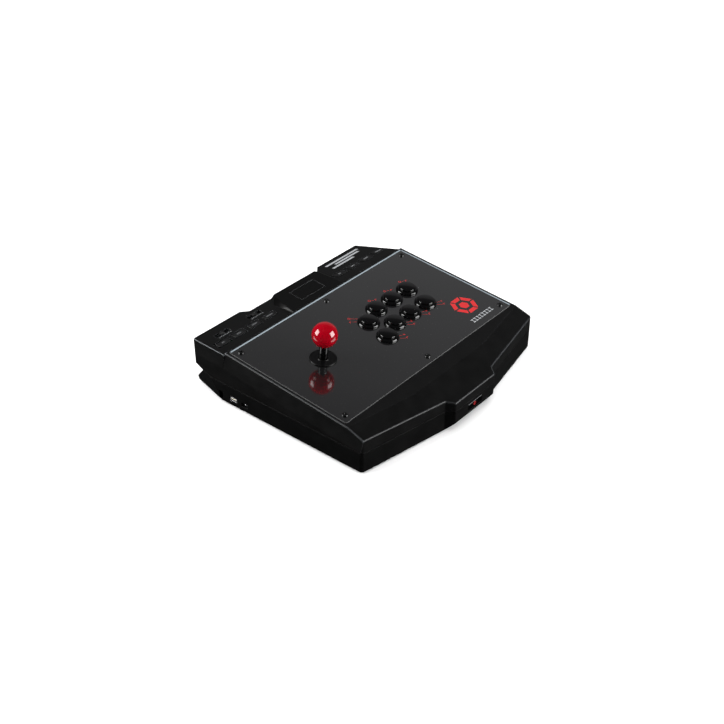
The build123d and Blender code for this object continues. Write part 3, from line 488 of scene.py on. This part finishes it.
# Small tally marks on the function keys, one more bar on each key.
TALLY_STEP = 2.6
for side in ("left", "right"):
    for number in range(1, 5):
        u, v = plane_spot(REAR_DECK, f"function_key_{side}_{number}")
        lean = 0.6 if side == "right" else 0.0
        count = number + 1
        tally = []
        for k in range(count):
            x = u + (k - (count - 1) / 2) * TALLY_STEP
            tally.append(bar(x + lean, v - 0.9, x - lean, v + 0.9, 0.9))
        name, body = f"key_mark_{side}_{number}", f"key_{side}_{number}"
        flat_piece(name, REAR_DECK, tally, KEY_TOP + LIFT, body, "print_grey", 0.04)

# Position dashes beside the two slide switches.
dashes = []
for number in (1, 2):
    u, v = plane_spot(REAR_DECK, f"slide_knob_{number}")
    for k in range(7):
        x, y = u - 11.0 + 3.6 * k, v - 6.4 + 0.8 * (k % 2)
        dashes.append(bar(x, y, x + 1.6, y, 0.9))
flat_piece("switch_marks", REAR_DECK, dashes, LIFT, "lid", "print_grey")

# Dark strips on the floor of each switch recess, around the slot in it: painted shade in the
# recess.
RECESS_FLOOR = -1.8
strips = []
for number in (1, 2):
    u, v = plane_spot(REAR_DECK, f"slide_knob_{number}")
    for side in (-1, 1):
        strips.append(bar(u - 13.2, v + side * 2.55, u + 13.2, v + side * 2.55, 1.6))
        strips.append(bar(u + side * 6.8, v, u + side * 13.2, v, 3.2))
flat_piece("switch_recess_shade", REAR_DECK, strips, RECESS_FLOOR + LIFT, "lid", "latch_plastic", 0.04)

# Dotted outline on the touchpad, just inside its edge.
pad_u, pad_v = plane_spot(DECK, "touchpad")
PAD_TOP = -0.1
dots = []
for k in range(18):
    for side in (-1, 1):
        dots.append(disc(pad_u - 25.5 + 3.0 * k, pad_v + side * 12.1, 0.3, 8))
for k in range(7):
    for side in (-1, 1):
        dots.append(disc(pad_u + side * 25.5, pad_v - 9.3 + 3.1 * k, 0.3, 8))
flat_piece("touchpad_dots", DECK, dots, PAD_TOP + LIFT, "pad", "print_grey", 0.04)

# Red ring on the release button.
FRONT = (Vector((0, -176.9 * MM, 0)), Vector((1, 0, 0)), Vector((0, 0, 1)), Vector((0, -1, 0)))
ring_mark = []
for k in range(12):
    turns = [radians(30 * k + 2), radians(30 * k + 28)]
    outer = [(2.2 * cos(t), 2.8 * sin(t)) for t in turns]
    inner = [(1.2 * cos(t), 1.6 * sin(t)) for t in reversed(turns)]
    ring_mark.append(outer + inner)
flat_piece("release_mark", FRONT, shifted(ring_mark, 0, 23.0), LIFT, "latch", "print_red")

# Pale bar along the top of the release window: a painted highlight on its lip.
low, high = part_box("release_button")
window_top = (low.z + high.z) / 2 / MM + 5.0
FACE_HEIGHT = 0.52
painted_window_highlight = [bar(-15.4, window_top, 15.4, window_top, 0.5)]
flat_piece("painted_window_highlight", FRONT, painted_window_highlight, FACE_HEIGHT, "base", "print_grey", 0.04)

# Pale contact carrier with four contacts, in the mouth of the wide socket.
low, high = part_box("usb_a_socket")
SOCKET = (Vector((low.x, (low.y + high.y) / 2, (low.z + high.z) / 2)), Vector((0, -1, 0)),
          Vector((0, 0, 1)), Vector((-1, 0, 0)))
carrier = [bar(-5.2, 0.1, 5.2, 0.1, 1.6)]
flat_piece("contact_carrier", SOCKET, carrier, -0.5, "base", "gate_plastic", 0.3)
contacts = [bar(x, -0.75, x, 0.25, 1.2) for x in (-3.6, -1.2, 1.2, 3.6)]
flat_piece("socket_contacts", SOCKET, contacts, -0.2 + LIFT, "base", "contact_gold", 0.05)

# Pale strips on the polished cut edge of the clear cover sheet, along its rear and right sides:
# a painted highlight of the edge catching the light.
low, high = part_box("panel_cover")
low_u, high_u = low.x / MM, high.x / MM
low_v, high_v = 15.0, 225.0
strips = [bar(low_u + 1.6, high_v - 1.9, high_u - 1.6, high_v - 1.9, 2.4)]
strips += [bar(high_u - 1.5, low_v + 1.6, high_u - 1.5, high_v - 3.4, 2.2)]
flat_piece("cover_edge_highlight", DECK, strips, COVER_TOP + 0.005, "lid", "clear_edge", 0.03)

# ------------------------------------------------------------------ stage
FLOOR_HALF = 14.0
floor_mesh = bmesh.new()
bmesh.ops.create_grid(floor_mesh, x_segments=8, y_segments=8, size=FLOOR_HALF)
floor_data = bpy.data.meshes.new("floor")
floor_mesh.to_mesh(floor_data)
floor_mesh.free()
floor = bpy.data.objects.new("floor", floor_data)
bpy.context.scene.collection.objects.link(floor)
paper = Surface("studio_paper")
tone = paper.between(paper.noise(3.0, detail=4.0), 0.0, 1.0)
paper.set(Base_Color=paper.blend(tone, rgb(0.88, 0.88, 0.88), rgb(0.9, 0.9, 0.9)))
paper.set(Roughness=0.9, Specular_IOR_Level=0.1)
floor_data.materials.append(paper.material)
floor.visible_glossy = False

world = bpy.data.worlds.new("studio")
bpy.context.scene.world = world
world.use_nodes = True
sky = world.node_tree
sky.nodes.clear()
direction = sky.nodes.new("ShaderNodeTexCoord")
glow = sky.nodes.new("ShaderNodeVectorMath")
glow.operation = "DOT_PRODUCT"
sky.links.new(direction.outputs["Generated"], glow.inputs[0])
BRIGHT_SIDE = Vector((0.84, 0.52, 0.17))
glow.inputs[1].default_value = BRIGHT_SIDE.normalized()
ramp = sky.nodes.new("ShaderNodeValToRGB")
# Brightness of the studio walls, from across the bright side (0) to its middle (1).
WALL_LEVELS = [(0.0, 0.03), (0.6, 0.036), (0.83, 0.074), (0.905, 0.208), (1.0, 0.2)]
while len(ramp.color_ramp.elements) < len(WALL_LEVELS):
    ramp.color_ramp.elements.new(0.5)
for element, (position, level) in zip(ramp.color_ramp.elements, WALL_LEVELS):
    element.position = position
    element.color = rgb(level, level, level * 1.02)
sky.links.new(glow.outputs["Value"], ramp.inputs["Fac"])
background = sky.nodes.new("ShaderNodeBackground")
background.inputs["Strength"].default_value = 1.0
sky.links.new(ramp.outputs["Color"], background.inputs["Color"])
sky_output = sky.nodes.new("ShaderNodeOutputWorld")
sky.links.new(background.outputs["Background"], sky_output.inputs["Surface"])


def softbox(name, place, aim, size, power):
    """Rectangular soft light that faces a point; sizes in metres, power in watts."""
    light = bpy.data.lights.new(name, "AREA")
    light.shape = "RECTANGLE"
    light.size, light.size_y = size
    light.energy = power
    lamp = bpy.data.objects.new(name, light)
    lamp.location = place
    away = Vector(place) - Vector(aim)
    lamp.rotation_euler = away.to_track_quat("Z", "Y").to_euler()
    bpy.context.scene.collection.objects.link(lamp)
    return lamp


OBJECT_MIDDLE = (0.0, 0.0, 0.08)
softbox("left_rear_box", (-1.32, 1.23, 0.85), OBJECT_MIDDLE, (1.15, 1.2), 46.0)
softbox("right_front_box", (0.78, -1.76, 0.6), OBJECT_MIDDLE, (1.4, 1.3), 58.0)
top_box = softbox("top_box", (0.3, 0.4, 5.0), OBJECT_MIDDLE, (10.0, 10.0), 680.0)
top_box.visible_glossy = False

# Camera place and target in metres, solved from points in the photograph.
CAMERA_PLACE = (-1.11424, -0.89924, 0.98288)
CAMERA_TARGET = Vector((-0.06475, -0.03058, 0.061))
camera_data = bpy.data.cameras.new("camera")
camera_data.sensor_width = 36.0
camera_data.lens = 59.31
camera_data.clip_end = 60.0
camera = bpy.data.objects.new("camera", camera_data)
camera.location = CAMERA_PLACE
backward = camera.location - CAMERA_TARGET
camera.rotation_euler = backward.to_track_quat("Z", "Y").to_euler()
bpy.context.scene.collection.objects.link(camera)
bpy.context.scene.camera = camera
bpy.context.scene.view_settings.view_transform = "Standard"
